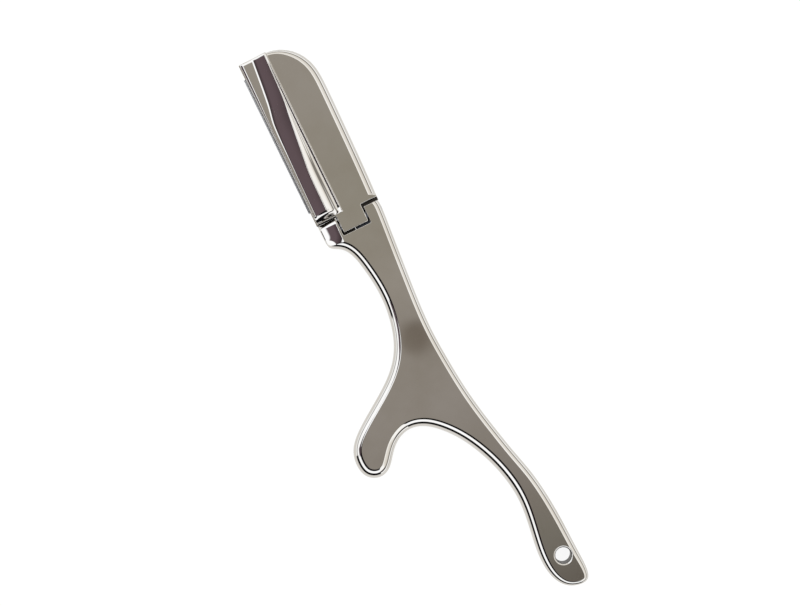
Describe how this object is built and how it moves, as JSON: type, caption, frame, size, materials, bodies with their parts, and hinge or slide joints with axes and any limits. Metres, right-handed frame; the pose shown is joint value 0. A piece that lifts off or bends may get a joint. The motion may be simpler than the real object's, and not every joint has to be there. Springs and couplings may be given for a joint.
{
  "type": "eyebrow razor",
  "caption": "Slim chromed hand razor with a finger hook and hanging hole. A jaw with a guard rib flips up on a pin hinge and clamps half a double-edge blade.",
  "frame": {"origin": "centre of the hanging hole in the tail, on the handle's flat back face", "axes": "+Y runs along the razor to the tip of the head, +X points to the straight spine side, +Z out of the front face that the jaw opens from"},
  "size_m": [0.0406, 0.1546, 0.0065],
  "materials": {
    "handle_chrome": "bright nickel-chrome plating, mirror polished",
    "rear_jaw_chrome": "bright nickel-chrome plating, mirror polished",
    "front_jaw_chrome": "bright nickel-chrome plating, mirror polished",
    "blade_steel": "cold-rolled stainless strip with a ground edge",
    "pin_steel": "ground steel",
    "washer_steel": "stamped spring-steel shim",
    "spring_steel": "tempered spring strip",
    "screw_steel": "zinc-plated steel",
    "stud_steel": "turned stainless steel"
  },
  "bodies": {
    "handle": {"handle": "handle_chrome", "rear_jaw": "rear_jaw_chrome", "hinge_pin": "pin_steel", "washer_left": "washer_steel", "washer_right": "washer_steel", "leaf_spring": "spring_steel", "screw_upper": "screw_steel", "screw_lower": "screw_steel", "stud_tip": "stud_steel", "stud_middle": "stud_steel", "stud_heel": "stud_steel"},
    "front_jaw": {"front_jaw": "front_jaw_chrome"},
    "blade": {"blade": "blade_steel"}
  },
  "joints": [
    {"name": "jaw_hinge", "type": "hinge", "parent": "handle", "child": "front_jaw", "pos_m": [-0.01055, 0.0982, 0.0034], "axis": [1, 0, 0], "range_deg": [0, 90]},
    {"name": "blade_slide", "type": "slide", "parent": "handle", "child": "blade", "axis": [-1, 0, 0], "range_m": [0, 0.01]}
  ]
}
